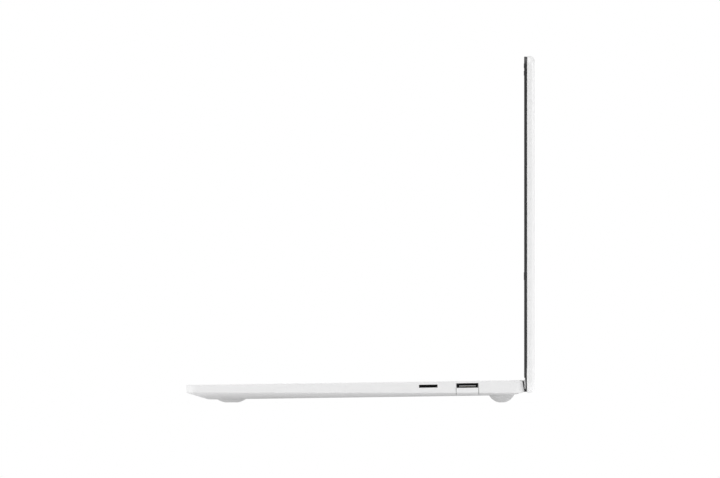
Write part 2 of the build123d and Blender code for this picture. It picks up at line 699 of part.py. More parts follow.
def display_glass():
    """Cover glass over the whole screen."""
    return upright(-glass_x, glass_x, glass_z0, glass_z1, glass_front, glass_back, 6.3)


def camera_module():
    """Camera and microphone board along the top edge."""
    board = block(-32, 32, 5.7, 6.4, 202.1, 204.2)
    lens = block(-3, 3, glass_back, 5.7, 202.1, 204.2)
    ends = [block(x - 2, x + 2, glass_back, 5.7, 202.1, 204.2) for x in (-28, 28)]
    return board + lens + ends


def display_panel():
    """The lit panel behind the glass, thicker along its lower edge where its driver board is."""
    body = block(-panel_x, panel_x, glass_back, panel_back - 0.6, panel_z0, panel_z1)
    return body + block(-panel_x + 20, panel_x - 20, panel_back - 0.6, panel_back + 0.4, panel_z0, panel_z0 + 12)


def lid_bumpers():
    """Four rubber dots that keep the closed lid off the deck."""
    dots = []
    for x, z in ((-147.5, 201.5), (147.5, 201.5), (-152.2, 70), (152.2, 70)):
        dots.append(extrude(Plane.XZ.offset(-3.95) * (Pos(x, z) * RegularPolygon(1.5, 12)), amount=-0.4))
    return Part() + dots


# ------------------------------------------------------------------ build everything
keys = key_rows()

save("top_case", top_case(), in_case)
save("bottom_cover", bottom_cover(), in_case)
save("bottom_screws", bottom_screws(), in_case)
save("front_feet", Part() + [foot(s * foot_x, foot_front_y, 12.9) for s in (-1, 1)], in_case)
save("rear_feet", Part() + [foot(s * foot_x, foot_rear_y, 8.7) for s in (-1, 1)], in_case)
save("keyboard_grid", keyboard_grid(keys), in_case)
save("keyboard_membrane", keyboard_membrane(), in_case)
save("keyboard_backplate", keyboard_backplate(), in_case)
for name, places in keys.items():
    save(name, Part() + [keycap(*place) for place in places], in_case)
save("touchpad", touchpad(), in_case)
save("touchpad_bracket", touchpad_bracket(), in_case)
save("battery_frame", battery_frame(), in_case)
save("battery_cells", battery_cells(), in_case)
save("mainboard", mainboard(), in_case)
save("mainboard_chips", mainboard_chips(), in_case)
save("fan_housing", fan_housing(), in_case)
save("fan_impeller", fan_impeller(), in_case)
save("heat_sink", heat_sink(), in_case)
save("heat_pipe", heat_pipe(), in_case)
save("ssd_module", ssd_module(), in_case)
save("wifi_card", wifi_card(), in_case)
save("speakers", speakers(), in_case)
save("io_board", io_board(), in_case)
save("usb_a_shell", usb_a_shell(), in_case)
save("usb_a_tongue", usb_a_tongue(), in_case)
save("usb_a_jaw", jaw_body(), in_case)
save("jaw_pin", jaw_pin(), in_case)
save("microsd_socket", microsd_socket(), in_case)
save("usb_c_shells", usb_c_shells(), in_case)
save("usb_c_tongues", usb_c_tongues(), in_case)
save("audio_jack", audio_jack(), in_case)
save("hinge_brackets", both_sides(hinge_bracket), in_case)

save("hinge_shafts", both_sides(hinge_shaft), in_lid)
save("hinge_arms", both_sides(hinge_arm), in_lid)
save("hinge_cover", hinge_cover(), in_lid)
save("hinge_trim", hinge_trim(), in_lid)
save("lid_shell", lid_shell(), in_lid)
save("bezel_frame", bezel_frame(), in_lid)
save("display_glass", display_glass(), in_lid)
save("display_panel", display_panel(), in_lid)
save("camera_module", camera_module(), in_lid)
save("lid_bumpers", lid_bumpers(), in_lid)
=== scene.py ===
import bpy
import json
import numpy as np
from math import atan2, cos, pi, radians, sin
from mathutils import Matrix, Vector

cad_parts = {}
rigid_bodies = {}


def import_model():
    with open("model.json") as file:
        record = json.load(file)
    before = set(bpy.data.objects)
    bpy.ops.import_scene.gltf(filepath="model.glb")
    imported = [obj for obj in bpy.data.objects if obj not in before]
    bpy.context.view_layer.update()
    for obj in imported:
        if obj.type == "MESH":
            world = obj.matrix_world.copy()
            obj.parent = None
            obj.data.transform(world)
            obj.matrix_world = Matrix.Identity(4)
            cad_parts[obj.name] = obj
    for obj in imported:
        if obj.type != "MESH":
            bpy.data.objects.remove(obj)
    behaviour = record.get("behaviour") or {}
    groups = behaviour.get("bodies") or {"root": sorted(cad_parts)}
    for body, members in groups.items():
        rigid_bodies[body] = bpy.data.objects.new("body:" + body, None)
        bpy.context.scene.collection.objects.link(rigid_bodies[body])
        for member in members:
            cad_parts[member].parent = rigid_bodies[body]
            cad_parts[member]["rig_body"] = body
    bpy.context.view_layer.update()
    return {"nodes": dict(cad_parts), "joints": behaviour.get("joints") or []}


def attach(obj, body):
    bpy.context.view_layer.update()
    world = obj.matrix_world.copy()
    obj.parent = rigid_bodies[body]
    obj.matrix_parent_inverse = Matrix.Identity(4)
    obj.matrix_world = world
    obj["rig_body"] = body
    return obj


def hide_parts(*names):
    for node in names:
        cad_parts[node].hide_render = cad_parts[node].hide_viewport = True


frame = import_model()
nodes = frame["nodes"]
joints = {joint["name"]: joint for joint in frame["joints"]}
mm, micrometre = 1e-3, 1e-6

# the case leans forward a little on its taller rear feet
caseFrame = {"pivotY": 208.3, "pivotDrop": 3.8, "width": 311.6}
pressAxis = joints["power_press"]["axis"]
tilt = atan2(pressAxis[1], -pressAxis[2])
lidAxis = np.array(joints["lid_hinge"]["pos_m"])
caseTurn = np.array([[1, 0, 0], [0, cos(tilt), -sin(tilt)], [0, sin(tilt), cos(tilt)]])
caseOrigin = lidAxis - caseTurn @ np.array([0, caseFrame["pivotY"], -caseFrame["pivotDrop"]]) * mm


def fromCase(points):
    # millimetres from the front edge and the deck surface, turned and moved into the part's frame
    return np.asarray(points, float) * mm @ caseTurn.T + caseOrigin


def fromLid(points):
    # millimetres from the lid's own axis
    return np.asarray(points, float) * mm + lidAxis


def faceOutwards(mesh, points):
    # a closed mesh holds a sixth of the sum of its triangles' triple products; below zero, it is inside out
    mesh.calc_loop_triangles()
    corners = np.empty(len(mesh.loop_triangles) * 3, int)
    mesh.loop_triangles.foreach_get("vertices", corners)
    a, b, c = points[corners.reshape(-1, 3)].transpose(1, 0, 2)
    if np.sum(a * np.cross(b, c)) < 0:
        mesh.flip_normals()


# neighbouring faces that turn by more than this keep a sharp edge between them
sharpAngle = radians(30)


def addMesh(name, points, faces, body, material, smooth=True):
    mesh = bpy.data.meshes.new(name)
    mesh.from_pydata([tuple(p) for p in np.asarray(points).tolist()], [], [list(f) for f in faces])
    mesh.update()
    faceOutwards(mesh, np.asarray(points))
    piece = bpy.data.objects.new(name, mesh)
    bpy.context.scene.collection.objects.link(piece)
    if smooth:
        mesh.polygons.foreach_set("use_smooth", np.ones(len(mesh.polygons), bool))
        mesh.set_sharp_from_angle(angle=sharpAngle)
    mesh.materials.append(material)
    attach(piece, body)
    return piece


def gridFaces(rows, columns):
    # quads between neighbouring rings of a rows by columns grid, whose last column joins the first
    r, c = np.meshgrid(np.arange(rows - 1), np.arange(columns), indexing="ij")
    n = (c + 1) % columns
    quads = np.stack([r * columns + c, r * columns + n, (r + 1) * columns + n, (r + 1) * columns + c], -1)
    return quads.reshape(-1, 4)


def skinRings(rings, closeLoop=False):
    # rings as an array of (ring, point, xyz), skinned in order; the last joins the first, or both ends get one face
    count, per = rings.shape[:2]
    faces = gridFaces(count, per).tolist()
    last = (count - 1) * per
    if closeLoop:
        k = np.arange(per)
        n = (k + 1) % per
        faces += np.stack([last + k, last + n, n, k], -1).tolist()
    else:
        faces += [list(range(per))[::-1], list(range(last, last + per))]
    return rings.reshape(-1, 3), faces


def joinParts(parts):
    # stacks several (points, faces) pairs into one, shifting each part's face numbers past the points before it
    points, faces, start = [], [], 0
    for p, f in parts:
        points.append(np.asarray(p))
        faces += [[int(i) + start for i in face] for face in f]
        start += len(p)
    return np.concatenate(points), faces


def roundedOutline(sizeX, sizeY, radius, perCorner):
    # a rectangle whose corners are quarter circles: corner centre plus radius times (cos a, sin a), a from 0 to 2 pi
    quarter = np.linspace(0, pi / 2, perCorner)
    a = np.concatenate([quarter + k * pi / 2 for k in range(4)])
    signX = np.repeat([1, -1, -1, 1], perCorner)
    signY = np.repeat([1, 1, -1, -1], perCorner)
    x = signX * (sizeX / 2 - radius) + radius * np.cos(a)
    y = signY * (sizeY / 2 - radius) + radius * np.sin(a)
    return np.stack([x, y], -1)


def stackOutlines(outlines, heights):
    # outlines of equal length, each laid flat at its height, skinned and closed at both ends
    rings = [np.column_stack([o, np.full(len(o), h)]) for o, h in zip(outlines, heights)]
    return skinRings(np.array(rings))


def latheParts(profile, centre, sides):
    # a profile of (radius, height) pairs turned about an upright line through centre
    a = np.arange(sides) * 2 * pi / sides
    ring = np.stack([np.cos(a), np.sin(a)], -1)
    outlines = [ring * r + centre for r, h in profile]
    return stackOutlines(outlines, [h for r, h in profile])


print("helpers ready")


def newGroup(name, inputs, outputs):
    # an empty shader group: itself, its nodes, its links, and its input and output nodes
    group = bpy.data.node_groups.new(name, "ShaderNodeTree")
    for label, kind, value in inputs:
        socket = group.interface.new_socket(name=label, in_out="INPUT", socket_type=kind)
        socket.default_value = value
    for label, kind in outputs:
        group.interface.new_socket(name=label, in_out="OUTPUT", socket_type=kind)
    ends = group.nodes.new("NodeGroupInput"), group.nodes.new("NodeGroupOutput")
    return group, group.nodes, group.links, *ends


def mathNode(tree, operation, first, second=None, clamp=False):
    # one sum on numbers or other nodes' outputs; returns its result's socket
    node = tree.nodes.new("ShaderNodeMath")
    node.operation = operation
    node.use_clamp = clamp
    for socket, value in zip(node.inputs, (first, second)):
        if value is None:
            continue
        if isinstance(value, (int, float)):
            socket.default_value = value
        else:
            tree.links.new(value, socket)
    return node.outputs[0]


def makeGrain():
    # two sizes of noise: the coarse one drifts the colour, both drift the roughness, the fine one gives the height;
    # the coarse one also breaks up the brightening of worn edges
    floatKind = "NodeSocketFloat"
    group, gNodes, gLinks, gIn, gOut = newGroup(
        "surfaceGrain",
        [
            ("Color", "NodeSocketColor", (0.8, 0.8, 0.8, 1)), ("Fine scale", floatKind, 4000.0),
            ("Coarse scale", floatKind, 60.0), ("Color drift", floatKind, 0.03),
            ("Roughness", floatKind, 0.4), ("Roughness drift", floatKind, 0.08),
            ("Edge", floatKind, 0.0), ("Edge lift", floatKind, 0.0),
        ],
        [("Color", "NodeSocketColor"), ("Roughness", floatKind), ("Height", floatKind)],
    )
    coords = gNodes.new("ShaderNodeTexCoord")
    fine, coarse = gNodes.new("ShaderNodeTexNoise"), gNodes.new("ShaderNodeTexNoise")
    fine.inputs["Detail"].default_value = 2.0
    coarse.inputs["Detail"].default_value = 4.0
    for noise, scale in ((fine, "Fine scale"), (coarse, "Coarse scale")):
        gLinks.new(coords.outputs["Object"], noise.inputs["Vector"])
        gLinks.new(gIn.outputs[scale], noise.inputs["Scale"])
    # noise less a half spans a half either way, so its share of the drift is doubled
    centred = mathNode(group, "SUBTRACT", coarse.outputs["Fac"], 0.5)
    drift = mathNode(group, "MULTIPLY", centred, gIn.outputs["Color drift"])
    shade = gNodes.new("ShaderNodeHueSaturation")
    gLinks.new(gIn.outputs["Color"], shade.inputs["Color"])
    patchy = mathNode(group, "MULTIPLY", gIn.outputs["Edge"], coarse.outputs["Fac"])
    wear = mathNode(group, "MULTIPLY", patchy, gIn.outputs["Edge lift"])
    doubled = mathNode(group, "MULTIPLY", drift, 2.0)
    brightness = mathNode(group, "ADD", doubled, mathNode(group, "ADD", wear, 1.0))
    gLinks.new(brightness, shade.inputs["Value"])
    gLinks.new(shade.outputs["Color"], gOut.inputs["Color"])
    both = mathNode(group, "ADD", fine.outputs["Fac"], coarse.outputs["Fac"])
    spread = mathNode(group, "MULTIPLY", mathNode(group, "SUBTRACT", both, 1.0), gIn.outputs["Roughness drift"])
    gLinks.new(mathNode(group, "ADD", gIn.outputs["Roughness"], spread, True), gOut.inputs["Roughness"])
    gLinks.new(fine.outputs["Fac"], gOut.inputs["Height"])
    return group


def makeSoftEdge():
    # a rounded shading normal near sharp edges, and a mask that is 0 on flat faces and 1 on edges of a right angle
    sampleCount, maskGain = 4, 4.0
    group, gNodes, gLinks, gIn, gOut = newGroup(
        "softEdge",
        [("Radius", "NodeSocketFloat", 0.0002)],
        [("Normal", "NodeSocketVector"), ("Edge", "NodeSocketFloat")],
    )
    bevel, geometry = gNodes.new("ShaderNodeBevel"), gNodes.new("ShaderNodeNewGeometry")
    bevel.samples = sampleCount
    gLinks.new(gIn.outputs["Radius"], bevel.inputs["Radius"])
    dot = gNodes.new("ShaderNodeVectorMath")
    dot.operation = "DOT_PRODUCT"
    gLinks.new(bevel.outputs["Normal"], dot.inputs[0])
    gLinks.new(geometry.outputs["Normal"], dot.inputs[1])
    lost = mathNode(group, "SUBTRACT", 1.0, dot.outputs["Value"])
    gLinks.new(mathNode(group, "MULTIPLY", lost, maskGain, True), gOut.inputs["Edge"])
    gLinks.new(bevel.outputs["Normal"], gOut.inputs["Normal"])
    return group


grainGroup, softEdgeGroup = makeGrain(), makeSoftEdge()
print("shader groups built")

# the picture area behind the glass, in millimetres from the lid's axis
pictureArea = {"half": 151.8, "low": 10.6, "high": 201.8}
# under this height in metres the jaw wears the underside's darker grey: painted shade, matching the shade on the
# downward-facing underside
jawShadeSplit = 0.0061
# a grey darker than the case paint: painted shade for the underside, which faces down, away from the light
undersideShadeGrey = (0.62, 0.619, 0.619)

# colour, roughness, fine grain per metre, bump depth in micrometres, edge softening in millimetres
finishes = {
    "casePaint": {"color": (0.790, 0.789, 0.789), "rough": 0.38, "fine": 5200, "bump": 12, "edge": 0.25},
    # the bottom cover wears the darker underside grey: painted shade
    "bottomPaintShaded": {"color": undersideShadeGrey, "rough": 0.48, "fine": 3800, "bump": 20, "edge": 0.3},
    # the jaw's lower band wears the same darker grey: painted shade
    "jawPaintShadedBelow": {
        "color": (0.80, 0.80, 0.80), "rough": 0.38, "fine": 5200, "bump": 12, "edge": 0.25,
        "second": {"half": 1.0, "z0": -1.0, "z1": jawShadeSplit, "color": undersideShadeGrey},
    },
    "lidGloss": {"color": (0.800, 0.799, 0.799), "rough": 0.30, "fine": 5200, "bump": 8, "edge": 0.3, "coat": 0.25},
    # the trim is the lid's plastic made lighter: painted light against the shade in its recess between case and lid
    "trimGlossBrightened": {"color": (0.90, 0.90, 0.90), "rough": 0.26, "fine": 5200, "bump": 8, "edge": 0, "coat": 0.25},
    "keyPlastic": {"color": (0.79, 0.79, 0.80), "rough": 0.50, "fine": 4200, "bump": 16, "edge": 0},
    "powerPlastic": {"color": (0.62, 0.63, 0.66), "rough": 0.35, "fine": 4200, "bump": 10, "edge": 0},
    "gridPlastic": {"color": (0.76, 0.76, 0.77), "rough": 0.46, "fine": 4200, "bump": 14, "edge": 0.25},
    "footRubber": {"color": (0.69, 0.69, 0.69), "rough": 0.70, "fine": 2600, "bump": 30, "edge": 0.2},
    "bumperRubber": {"color": (0.015, 0.015, 0.016), "rough": 0.75, "fine": 2600, "bump": 20, "edge": 0.1},
    "bezelPlastic": {"color": (0.010, 0.010, 0.011), "rough": 0.42, "fine": 3800, "bump": 14, "edge": 0.2},
    "barrelPlastic": {"color": (0.018, 0.018, 0.019), "rough": 0.40, "fine": 3600, "bump": 12, "edge": 0.2},
    "blackPlastic": {"color": (0.020, 0.020, 0.022), "rough": 0.45, "fine": 3000, "bump": 20, "edge": 0.1},
    "chipEpoxy": {"color": (0.022, 0.022, 0.024), "rough": 0.55, "fine": 6000, "bump": 10, "edge": 0.1},
    "darkFilm": {"color": (0.10, 0.10, 0.11), "rough": 0.35, "fine": 2000, "bump": 5, "edge": 0},
    "cellFoil": {"color": (0.16, 0.17, 0.19), "rough": 0.42, "fine": 1500, "bump": 40, "edge": 0.2},
    "plainSteel": {"color": (0.52, 0.52, 0.53), "rough": 0.30, "fine": 3500, "bump": 10, "edge": 0.1, "metal": 1.0},
    "stampedSheet": {
        "color": (0.48, 0.48, 0.49), "rough": 0.36, "fine": 2500, "bump": 10, "edge": 0.1, "metal": 1.0,
    },
    "nickelShell": {"color": (0.66, 0.65, 0.63), "rough": 0.18, "fine": 3500, "bump": 6, "edge": 0.1, "metal": 1.0},
    "darkShell": {"color": (0.05, 0.05, 0.052), "rough": 0.32, "fine": 3500, "bump": 6, "edge": 0.1, "metal": 1.0},
    "tonguePlastic": {"color": (0.82, 0.82, 0.82), "rough": 0.45, "fine": 3600, "bump": 12, "edge": 0.1},
    "plainFins": {"color": (0.70, 0.70, 0.71), "rough": 0.30, "fine": 3000, "bump": 10, "edge": 0, "metal": 1.0},
    "copperPipe": {"color": (0.74, 0.36, 0.22), "rough": 0.28, "fine": 2000, "bump": 10, "edge": 0.2, "metal": 1.0},
    "goldContact": {"color": (0.85, 0.60, 0.22), "rough": 0.20, "fine": 3000, "bump": 4, "edge": 0, "metal": 1.0},
    "boardLaminate": {"color": (0.012, 0.075, 0.045), "rough": 0.38, "fine": 1800, "bump": 20, "edge": 0.1},
    "padGlass": {"color": (0.78, 0.78, 0.79), "rough": 0.24, "fine": 5200, "bump": 5, "edge": 0.2, "coat": 0.2},
    "screenGlass": {
        "color": (0.004, 0.004, 0.0045), "rough": 0.06, "fine": 3000, "bump": 1, "edge": 0.1, "roughDrift": 0.02,
        "second": {
            "half": pictureArea["half"] * mm, "z0": float(lidAxis[2]) + pictureArea["low"] * mm,
            "z1": float(lidAxis[2]) + pictureArea["high"] * mm, "color": (0.0095, 0.0097, 0.0112),
        },
    },
    "legendInk": {"color": (0.10, 0.103, 0.112), "rough": 0.55, "fine": 3000, "bump": 4, "edge": 0},
    "lensGlass": {"color": (0.010, 0.011, 0.022), "rough": 0.05, "fine": 3000, "bump": 0, "edge": 0, "coat": 1.0},
    "clearDot": {"color": (0.35, 0.36, 0.36), "rough": 0.25, "fine": 3000, "bump": 2, "edge": 0},
    "dustMesh": {"color": (0.05, 0.05, 0.052), "rough": 0.80, "fine": 1400, "bump": 120, "edge": 0, "drift": 0.2},
}


def addSecondColor(tree, grain, second):
    # another colour where |x| is under a half width and z lies between two heights, all in metres
    coords = tree.nodes.new("ShaderNodeTexCoord")
    axes = tree.nodes.new("ShaderNodeSeparateXYZ")
    tree.links.new(coords.outputs["Object"], axes.inputs["Vector"])
    across = mathNode(tree, "LESS_THAN", mathNode(tree, "ABSOLUTE", axes.outputs["X"]), second["half"])
    over = mathNode(tree, "GREATER_THAN", axes.outputs["Z"], second["z0"])
    under = mathNode(tree, "LESS_THAN", axes.outputs["Z"], second["z1"])
    mask = mathNode(tree, "MULTIPLY", across, mathNode(tree, "MULTIPLY", over, under))
    mix = tree.nodes.new("ShaderNodeMix")
    mix.data_type = "RGBA"
    colorIn = [socket for socket in mix.inputs if socket.type == "RGBA"]
    colorIn[0].default_value = grain.inputs["Color"].default_value[:]
    colorIn[1].default_value = (*second["color"], 1)
    tree.links.new(mask, mix.inputs["Factor"])
    tree.links.new([socket for socket in mix.outputs if socket.type == "RGBA"][0], grain.inputs["Color"])


# what a finish has when it says nothing else
finishDefaults = {
    "coarse": 45.0, "drift": 0.008, "roughDrift": 0.05, "wear": 0.06, "metal": 0.0, "coat": 0.0,
    "bumpStrength": 0.6, "coatRough": 0.08,
}


def makeFinish(name, settings):
    # one Principled shader, fed by the grain group and, where its edge is over zero, by the soft edge group
    settings = {**finishDefaults, **settings}
    material = bpy.data.materials.new(name)
    material.use_nodes = True
    tree = material.node_tree
    shader = tree.nodes["Principled BSDF"]
    grain = tree.nodes.new("ShaderNodeGroup")
    grain.node_tree = grainGroup
    grain.inputs["Color"].default_value = (*settings["color"], 1)
    for label, key in (
        ("Fine scale", "fine"), ("Coarse scale", "coarse"), ("Color drift", "drift"),
        ("Roughness", "rough"), ("Roughness drift", "roughDrift"),
    ):
        grain.inputs[label].default_value = settings[key]
    tree.links.new(grain.outputs["Color"], shader.inputs["Base Color"])
    tree.links.new(grain.outputs["Roughness"], shader.inputs["Roughness"])
    if "second" in settings:
        addSecondColor(tree, grain, settings["second"])
    bump = tree.nodes.new("ShaderNodeBump")
    bump.inputs["Distance"].default_value = settings["bump"] * micrometre
    bump.inputs["Strength"].default_value = settings["bumpStrength"]
    tree.links.new(grain.outputs["Height"], bump.inputs["Height"])
    if settings["edge"] > 0:
        edge = tree.nodes.new("ShaderNodeGroup")
        edge.node_tree = softEdgeGroup
        edge.inputs["Radius"].default_value = settings["edge"] * mm
        tree.links.new(edge.outputs["Normal"], bump.inputs["Normal"])
        tree.links.new(edge.outputs["Edge"], grain.inputs["Edge"])
        grain.inputs["Edge lift"].default_value = settings["wear"]
    tree.links.new(bump.outputs["Normal"], shader.inputs["Normal"])
    shader.inputs["Metallic"].default_value = settings["metal"]
    shader.inputs["Coat Weight"].default_value = settings["coat"]
    shader.inputs["Coat Roughness"].default_value = settings["coatRough"]
    return material


materials = {name: makeFinish(name, settings) for name, settings in finishes.items()}
print("finishes built:", len(materials))

# which finish each carried-over node wears
nodeFinish = {
    "casePaint": ["top_case"],
    "jawPaintShadedBelow": ["usb_a_jaw"],
    "bottomPaintShaded": ["bottom_cover"],
    "lidGloss": ["lid_shell", "hinge_trim"],
    "gridPlastic": ["keyboard_grid"],
    "keyPlastic": [n for n in nodes if n.endswith(("_key", "_keys", "_bar"))],
    "powerPlastic": ["power_button"],
    "footRubber": ["front_feet", "rear_feet"],
    "bumperRubber": ["lid_bumpers"],
    "bezelPlastic": ["bezel_frame"],
    "barrelPlastic": ["hinge_cover"],
    "blackPlastic": [
        "battery_frame", "fan_housing", "fan_impeller", "speakers", "audio_jack", "usb_c_tongues", "microsd_socket",
    ],
    "tonguePlastic": ["usb_a_tongue"],
    "chipEpoxy": ["mainboard_chips"],
    "darkFilm": ["keyboard_membrane"],
    "cellFoil": ["battery_cells"],
    "plainSteel": ["bottom_screws", "jaw_pin", "hinge_shafts", "hinge_arms", "hinge_brackets"],
    "stampedSheet": ["keyboard_backplate", "touchpad_bracket"],
    "nickelShell": ["usb_c_shells"],
    "darkShell": ["usb_a_shell"],
    "plainFins": ["heat_sink"],
    "copperPipe": ["heat_pipe"],
    "boardLaminate": ["mainboard", "io_board", "wifi_card", "ssd_module", "camera_module"],
    "padGlass": ["touchpad"],
    "screenGlass": ["display_glass", "display_panel"],
}
for finish, members in nodeFinish.items():
    for member in members:
        nodes[member].data.materials.clear()
        nodes[member].data.materials.append(materials[finish])
bare = sorted(set(nodes) - {m for members in nodeFinish.values() for m in members})
print("nodes without a finish:", bare)

# the key field in millimetres; units are key pitches across, and sixteen function keys share the same width
keyRow = {
    "units": 15, "pitchX": 18.7, "pitchY": 18.6, "gap": 3.1, "front": 85.0, "arrowOverlap": 1.3,
    "functionCount": 16, "functionDepth": 11.6, "functionShift": 0.6, "top": -0.2, "bottom": -2.5, "lean": 0.34,
    "corner": 1.6, "cornerLoss": 0.6, "cornerLeast": 0.3, "edgeRound": 0.28, "edgeRings": 5, "perCorner": 6,
}
fieldLeft = -keyRow["units"] / 2 * keyRow["pitchX"]


def keyPlaces():
    # every keycap as (label, x, y, width, depth), grouped by the node that it stands for
    keys = {}
    pitch, depth, gap = keyRow["pitchX"], keyRow["pitchY"], keyRow["gap"]

    # left and units count key pitches, low and high are millimetres within the row
    def put(node, label, left, units, row, low=0.0, high=depth):
        x = fieldLeft + (left + units / 2) * pitch
        y = keyRow["front"] + row * depth + (low + high) / 2
        keys.setdefault(node, []).append((label, x, y, units * pitch - gap, high - low - gap))

    share, shift = keyRow["units"] / keyRow["functionCount"], keyRow["functionShift"]
    topLabels = ["Esc"] + [f"F{i}" for i in range(1, 13)] + ["PrtSc", "Del", ""]
    for i, label in enumerate(topLabels):
        node = "power_button" if i == keyRow["functionCount"] - 1 else "function_keys"
        put(node, label, i * share, share, 5, shift, keyRow["functionDepth"] + shift)
    for i, label in enumerate("`1234567890-="):
        put("number_keys", label, i, 1, 4)
    put("backspace_key", "Backspace", 13, 2, 4)
    put("tab_key", "Tab", 0, 1.5, 3)
    for i, label in enumerate("QWERTYUIOP[]"):
        put("top_letter_keys", label, 1.5 + i, 1, 3)
    put("top_letter_keys", "\\", 13.5, 1.5, 3)
    put("caps_lock_key", "Caps Lock", 0, 1.75, 2)
    for i, label in enumerate("ASDFGHJKL;'"):
        put("home_letter_keys", label, 1.75 + i, 1, 2)
    put("enter_key", "Enter", 12.75, 2.25, 2)
    put("left_shift_key", "Shift", 0, 2.25, 1)
    for i, label in enumerate("ZXCVBNM,./"):
        put("bottom_letter_keys", label, 2.25 + i, 1, 1)
    put("right_shift_key", "Shift", 12.25, 2.75, 1)
    for label, left, units in (
        ("Ctrl", 0, 1.25), ("Fn", 1.25, 1), ("Home", 2.25, 1), ("Alt", 3.25, 1), ("Alt", 10, 1), ("Ctrl", 11, 1),
    ):
        put("modifier_keys", label, left, units, 0)
    put("space_bar", "", 4.25, 5.75, 0)
    halfRow, overlap = depth / 2, keyRow["arrowOverlap"]
    put("arrow_left_key", "<", 12, 1, 0, 0, halfRow + overlap)
    put("arrow_down_key", "v", 13, 1, 0, 0, halfRow + overlap)
    put("arrow_up_key", "^", 13, 1, 0, halfRow - overlap, depth)
    put("arrow_right_key", ">", 14, 1, 0, 0, halfRow + overlap)
    return keys


def keycapParts(x, y, sizeX, sizeY):
    # rings climb the leaning skirt, turn over a quarter-circle edge of small radius and meet the flat top
    s = keyRow
    turn = np.linspace(0, pi / 2, s["edgeRings"])
    insets = np.concatenate([[0.0], s["lean"] + s["edgeRound"] * (1 - np.cos(turn))])
    heights = np.concatenate([[s["bottom"]], s["top"] - s["edgeRound"] * (1 - np.sin(turn))])
    corners = np.maximum(s["corner"] - s["cornerLoss"] * insets, s["cornerLeast"])
    outlines = [
        roundedOutline(sizeX - 2 * inset, sizeY - 2 * inset, corner, s["perCorner"]) + (x, y)
        for inset, corner in zip(insets, corners)
    ]
    return stackOutlines(outlines, heights)


keys = keyPlaces()
for node, places in keys.items():
    points, faces = joinParts([keycapParts(x, y, w, d) for _, x, y, w, d in places])
    finish = "powerPlastic" if node == "power_button" else "keyPlastic"
    cap = addMesh(
        "caps_" + node, fromCase(points), faces, nodes[node]["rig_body"], materials[finish]
    )
    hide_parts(node)
print("keycaps:", sum(len(p) for p in keys.values()))

# legends: generic letters and signs, a thin layer of ink on each keytop
legend = {
    "letter": 3.3, "word": 2.2, "pairGap": 2.55, "thick": 0.012, "sink": 0.004, "stroke": 0.3, "arrowRadius": 0.93,
    "curveSteps": 2, "mergeDigits": 5,
}
powerSign = {"radius": 1.55, "from": 125, "to": 415, "points": 33, "barLow": 0.35, "barHigh": 1.3}
inkBottom = keyRow["top"] - legend["sink"]


def textParts(label, size, x, y, z):
    # a text curve as a mesh with its doubled points merged, centred on x and y by its own box, with its back at z
    curve = bpy.data.curves.new("label", "FONT")
    curve.body, curve.size, curve.resolution_u, curve.extrude = label, size, legend["curveSteps"], legend["thick"] / 2
    holder = bpy.data.objects.new("label", curve)
    bpy.context.scene.collection.objects.link(holder)
    mesh = bpy.data.meshes.new_from_object(holder.evaluated_get(bpy.context.evaluated_depsgraph_get()))
    flat = np.empty(len(mesh.vertices) * 3)
    mesh.vertices.foreach_get("co", flat)
    points = flat.reshape(-1, 3)
    middle = (points[:, :2].max(0) + points[:, :2].min(0)) / 2
    points += np.array([x, y, z]) - np.append(middle, points[:, 2].min())
    points, index = np.unique(np.round(points, legend["mergeDigits"]), axis=0, return_inverse=True)
    index = index.ravel()
    faces = [index[list(polygon.vertices)].tolist() for polygon in mesh.polygons]
    faces = [face for face in faces if len(set(face)) == len(face)]
    bpy.data.objects.remove(holder)
    bpy.data.curves.remove(curve)
    bpy.data.meshes.remove(mesh)
    return points, faces


def strokeParts(path, stroke, z):
    # a flat line of even width: path points plus and minus half the width along the line's normal, at two heights
    along = np.gradient(path, axis=0)
    normal = np.stack([-along[:, 1], along[:, 0]], -1) / np.linalg.norm(along, axis=1)[:, None]
    left, right = path + normal * stroke / 2, path - normal * stroke / 2
    low, high = np.full((len(path), 1), z), np.full((len(path), 1), z + legend["thick"])
    corners = ((left, low), (right, low), (right, high), (left, high))
    return skinRings(np.stack([np.hstack(corner) for corner in corners], 1))


def arrowParts(direction, x, y):
    # a filled triangle: three corners on a circle, turned to point along the direction
    turn = {">": 0, "^": pi / 2, "<": pi, "v": -pi / 2}[direction]
    a = turn + np.arange(3) * 2 * pi / 3
    corners = np.stack([np.cos(a), np.sin(a)], -1) * legend["arrowRadius"] + (x, y)
    return stackOutlines([corners, corners], [inkBottom, inkBottom + legend["thick"]])


def powerParts(x, y):
    # an open ring with a short bar through its gap
    a = np.linspace(radians(powerSign["from"]), radians(powerSign["to"]), powerSign["points"])
    r = powerSign["radius"]
    ring = np.stack([x + r * np.cos(a), y + r * np.sin(a)], -1)
    bar = np.array([[x, y + r * powerSign["barLow"]], [x, y + r * powerSign["barHigh"]]])
    return [strokeParts(ring, legend["stroke"], inkBottom), strokeParts(bar, legend["stroke"], inkBottom)]


def labelParts(node, label, x, y):
    # the power sign, nothing, an arrow, two signs one over the other, or one letter or word
    if node == "power_button":
        return powerParts(x, y)
    if not label:
        return []
    if node.startswith("arrow_"):
        return [arrowParts(label, x, y)]
    upper = dict(zip("`1234567890-=[]\\;',./", "~!@#$%^&*()_+{}|:\"<>?")).get(label)
    if upper:
        size, step = legend["letter"], legend["pairGap"]
        return [textParts(upper, size, x, y + step, inkBottom), textParts(label, size, x, y - step, inkBottom)]
    size = legend["letter"] if len(label) == 1 else legend["word"]
    return [textParts(label, size, x, y, inkBottom)]


for node, places in keys.items():
    parts = [part for label, x, y, _, _ in places for part in labelParts(node, label, x, y)]
    if parts:
        points, faces = joinParts(parts)
        body, ink = nodes[node]["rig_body"], materials["legendInk"]
        addMesh("legends_" + node, fromCase(points), faces, body, ink, False)
print("legends drawn")

